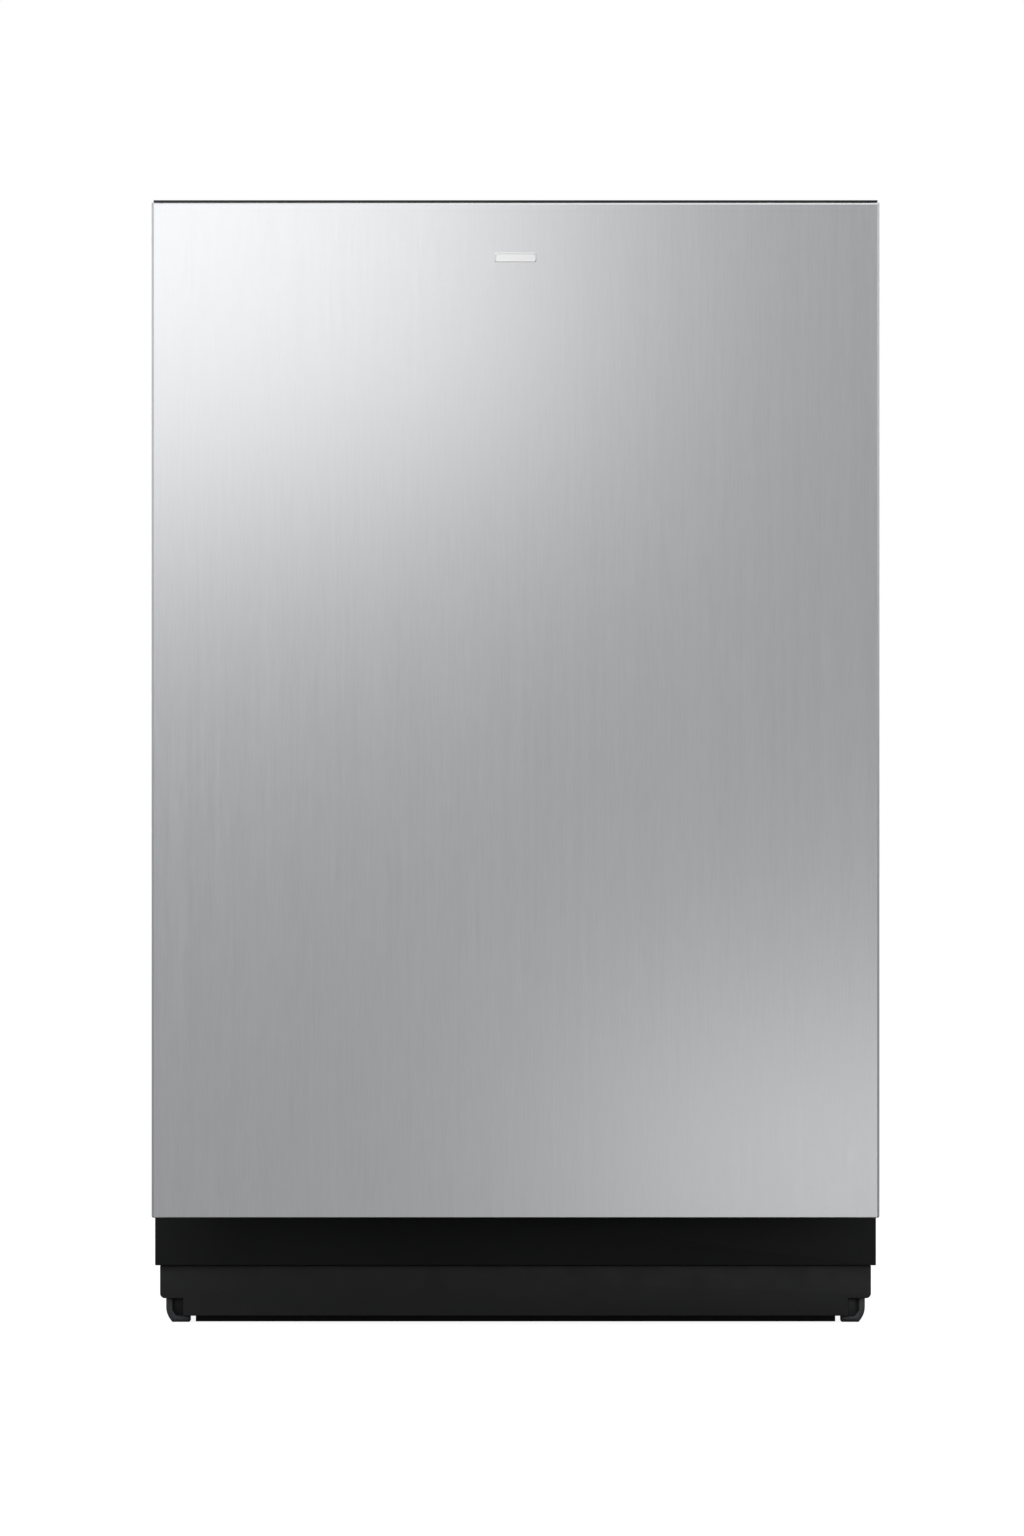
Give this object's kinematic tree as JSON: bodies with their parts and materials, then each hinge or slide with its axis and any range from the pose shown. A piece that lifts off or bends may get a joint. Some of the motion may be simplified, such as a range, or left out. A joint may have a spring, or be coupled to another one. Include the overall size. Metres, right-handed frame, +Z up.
{
  "type": "built in dishwasher",
  "caption": "Built-in dishwasher with a full-height handleless steel door, hidden top controls, black recessed kick panels, and a working interior of racks, spray arms and filter.",
  "frame": {"origin": "centre of the footprint at floor level", "axes": "+Z up, front of the door faces -Y, +X to the right seen from the front"},
  "size_m": [0.598, 0.59, 0.924],
  "materials": {
    "door_steel": "fine vertical brushing, satin",
    "badge_steel": "satin plate, blank",
    "tub_steel": "smooth pressed stainless steel",
    "zinc_steel": "zinc-coated steel, dull",
    "black_paint": "matt black powder coat",
    "black_plastic": "fine-grained moulding",
    "dark_grey_plastic": "fine-grained moulding",
    "grey_plastic": "fine-grained moulding",
    "white_plastic": "satin moulding",
    "rubber": "matt rubber",
    "rack_wire": "plastic-coated wire",
    "felt": "pressed felt on bitumen",
    "smoked_glass": "smoked, glossy"
  },
  "bodies": {
    "cabinet": {"base_tray": "black_plastic", "access_panel": "black_paint", "toe_panel": "black_plastic", "kick_seal_strip": "rubber", "tub_shell": "tub_steel", "tub_floor": "dark_grey_plastic", "tub_gasket": "rubber", "side_panel_left": "black_paint", "side_panel_right": "black_paint", "rear_panel": "zinc_steel", "top_cover": "zinc_steel", "latch_striker": "zinc_steel", "hinge_bracket_left": "zinc_steel", "hinge_bracket_right": "zinc_steel", "sump": "black_plastic", "fine_filter": "tub_steel", "lower_arm_support": "dark_grey_plastic", "feed_pipe": "dark_grey_plastic", "circulation_pump": "black_plastic", "drain_pump": "black_plastic", "inlet_valve": "white_plastic", "power_inlet": "black_plastic", "rack_rail_left": "tub_steel", "rack_rail_right": "tub_steel", "tray_rail_left": "grey_plastic", "tray_rail_right": "grey_plastic"},
    "door": {"door_outer_panel": "door_steel", "door_badge": "badge_steel", "door_inner_liner": "tub_steel", "door_insulation": "felt", "control_strip": "black_plastic", "display_lens": "smoked_glass", "door_latch": "dark_grey_plastic", "dispenser_housing": "grey_plastic", "vent_cover": "grey_plastic", "hinge_arm_left": "zinc_steel", "hinge_arm_right": "zinc_steel"},
    "power_button": {"power_button": "dark_grey_plastic"},
    "dispenser_lid": {"dispenser_lid": "dark_grey_plastic"},
    "rinse_aid_cap": {"rinse_aid_cap": "dark_grey_plastic"},
    "rack_sliders": {"rack_slider_left": "tub_steel", "rack_slider_right": "tub_steel"},
    "upper_rack": {"upper_rack": "rack_wire", "upper_rack_handle": "grey_plastic"},
    "cutlery_tray": {"cutlery_tray": "grey_plastic"},
    "lower_rack": {"lower_rack": "rack_wire", "lower_rack_handle": "grey_plastic"},
    "lower_spray_arm": {"lower_spray_arm": "dark_grey_plastic"},
    "upper_spray_arm": {"upper_spray_arm": "dark_grey_plastic"},
    "top_spray_arm": {"top_spray_arm": "dark_grey_plastic"},
    "filter_cylinder": {"filter_cylinder": "grey_plastic"},
    "float_dome": {"float_dome": "grey_plastic"},
    "wheel_front_left": {"wheel_front_left": "grey_plastic"},
    "wheel_front_right": {"wheel_front_right": "grey_plastic"},
    "wheel_rear_left": {"wheel_rear_left": "grey_plastic"},
    "wheel_rear_right": {"wheel_rear_right": "grey_plastic"},
    "foot_front_left": {"foot_front_left": "black_plastic"},
    "foot_front_right": {"foot_front_right": "black_plastic"},
    "foot_rear_left": {"foot_rear_left": "black_plastic"},
    "foot_rear_right": {"foot_rear_right": "black_plastic"}
  },
  "joints": [
    {"name": "door_hinge", "type": "hinge", "parent": "cabinet", "child": "door", "pos_m": [0, -0.262, 0.148], "axis": [1, 0, 0], "range_deg": [0, 90], "stiffness_Nm_per_rad": 20},
    {"name": "upper_rack_slide", "type": "slide", "parent": "cabinet", "child": "upper_rack", "axis": [0, -1, 0], "range_m": [0, 0.45]},
    {"name": "rack_slider_slide", "type": "slide", "parent": "cabinet", "child": "rack_sliders", "axis": [0, -1, 0], "range_m": [0, 0.226]},
    {"name": "cutlery_tray_slide", "type": "slide", "parent": "cabinet", "child": "cutlery_tray", "axis": [0, -1, 0], "range_m": [0, 0.45]},
    {"name": "lower_rack_slide", "type": "slide", "parent": "cabinet", "child": "lower_rack", "axis": [0, -1, 0], "range_m": [0, 0.01]},
    {"name": "lower_spray_arm_turn", "type": "hinge", "parent": "cabinet", "child": "lower_spray_arm", "pos_m": [0, 0.012, 0.195], "axis": [0, 0, 1], "continuous": true},
    {"name": "upper_spray_arm_turn", "type": "hinge", "parent": "upper_rack", "child": "upper_spray_arm", "pos_m": [0, 0.012, 0.495], "axis": [0, 0, 1], "continuous": true},
    {"name": "top_spray_arm_turn", "type": "hinge", "parent": "cabinet", "child": "top_spray_arm", "pos_m": [0, 0.012, 0.843], "axis": [0, 0, 1], "continuous": true},
    {"name": "dispenser_lid_slide", "type": "slide", "parent": "door", "child": "dispenser_lid", "axis": [0, 0, 1], "range_m": [0, 0.06]},
    {"name": "rinse_aid_cap_turn", "type": "hinge", "parent": "door", "child": "rinse_aid_cap", "pos_m": [0.08, -0.25, 0.57], "axis": [0, 1, 0], "range_deg": [0, 90]},
    {"name": "power_button_press", "type": "slide", "parent": "door", "child": "power_button", "axis": [0, 0, -1], "range_m": [0, 0.0015], "stiffness_N_per_m": 400},
    {"name": "filter_turn", "type": "hinge", "parent": "cabinet", "child": "filter_cylinder", "pos_m": [0.075, -0.02, 0.143], "axis": [0, 0, 1], "range_deg": [0, 90]},
    {"name": "float_lift", "type": "slide", "parent": "cabinet", "child": "float_dome", "axis": [0, 0, 1], "range_m": [0, 0.01]},
    {"name": "wheel_front_left_roll", "type": "hinge", "parent": "lower_rack", "child": "wheel_front_left", "pos_m": [-0.248, -0.15, 0.1833], "axis": [1, 0, 0], "range_deg": [0, 32]},
    {"name": "wheel_front_right_roll", "type": "hinge", "parent": "lower_rack", "child": "wheel_front_right", "pos_m": [0.248, -0.15, 0.1833], "axis": [1, 0, 0], "range_deg": [0, 32]},
    {"name": "wheel_rear_left_roll", "type": "hinge", "parent": "lower_rack", "child": "wheel_rear_left", "pos_m": [-0.248, 0.15, 0.1833], "axis": [1, 0, 0], "range_deg": [0, 32]},
    {"name": "wheel_rear_right_roll", "type": "hinge", "parent": "lower_rack", "child": "wheel_rear_right", "pos_m": [0.248, 0.15, 0.1833], "axis": [1, 0, 0], "range_deg": [0, 32]},
    {"name": "foot_front_left_level", "type": "slide", "parent": "cabinet", "child": "foot_front_left", "axis": [0, 0, -1], "range_m": [0, 0.015]},
    {"name": "foot_front_right_level", "type": "slide", "parent": "cabinet", "child": "foot_front_right", "axis": [0, 0, -1], "range_m": [0, 0.015]},
    {"name": "foot_rear_left_level", "type": "slide", "parent": "cabinet", "child": "foot_rear_left", "axis": [0, 0, -1], "range_m": [0, 0.015]},
    {"name": "foot_rear_right_level", "type": "slide", "parent": "cabinet", "child": "foot_rear_right", "axis": [0, 0, -1], "range_m": [0, 0.015]}
  ],
  "couplings": [
    {"joint": "upper_rack_slide", "follows": "door_hinge", "m_per_rad": 0.286},
    {"joint": "rack_slider_slide", "follows": "door_hinge", "m_per_rad": 0.143},
    {"joint": "cutlery_tray_slide", "follows": "door_hinge", "m_per_rad": 0.286},
    {"joint": "wheel_front_left_roll", "follows": "lower_rack_slide", "rad_per_m": 55.556},
    {"joint": "wheel_front_right_roll", "follows": "lower_rack_slide", "rad_per_m": 55.556},
    {"joint": "wheel_rear_left_roll", "follows": "lower_rack_slide", "rad_per_m": 55.556},
    {"joint": "wheel_rear_right_roll", "follows": "lower_rack_slide", "rad_per_m": 55.556}
  ]
}
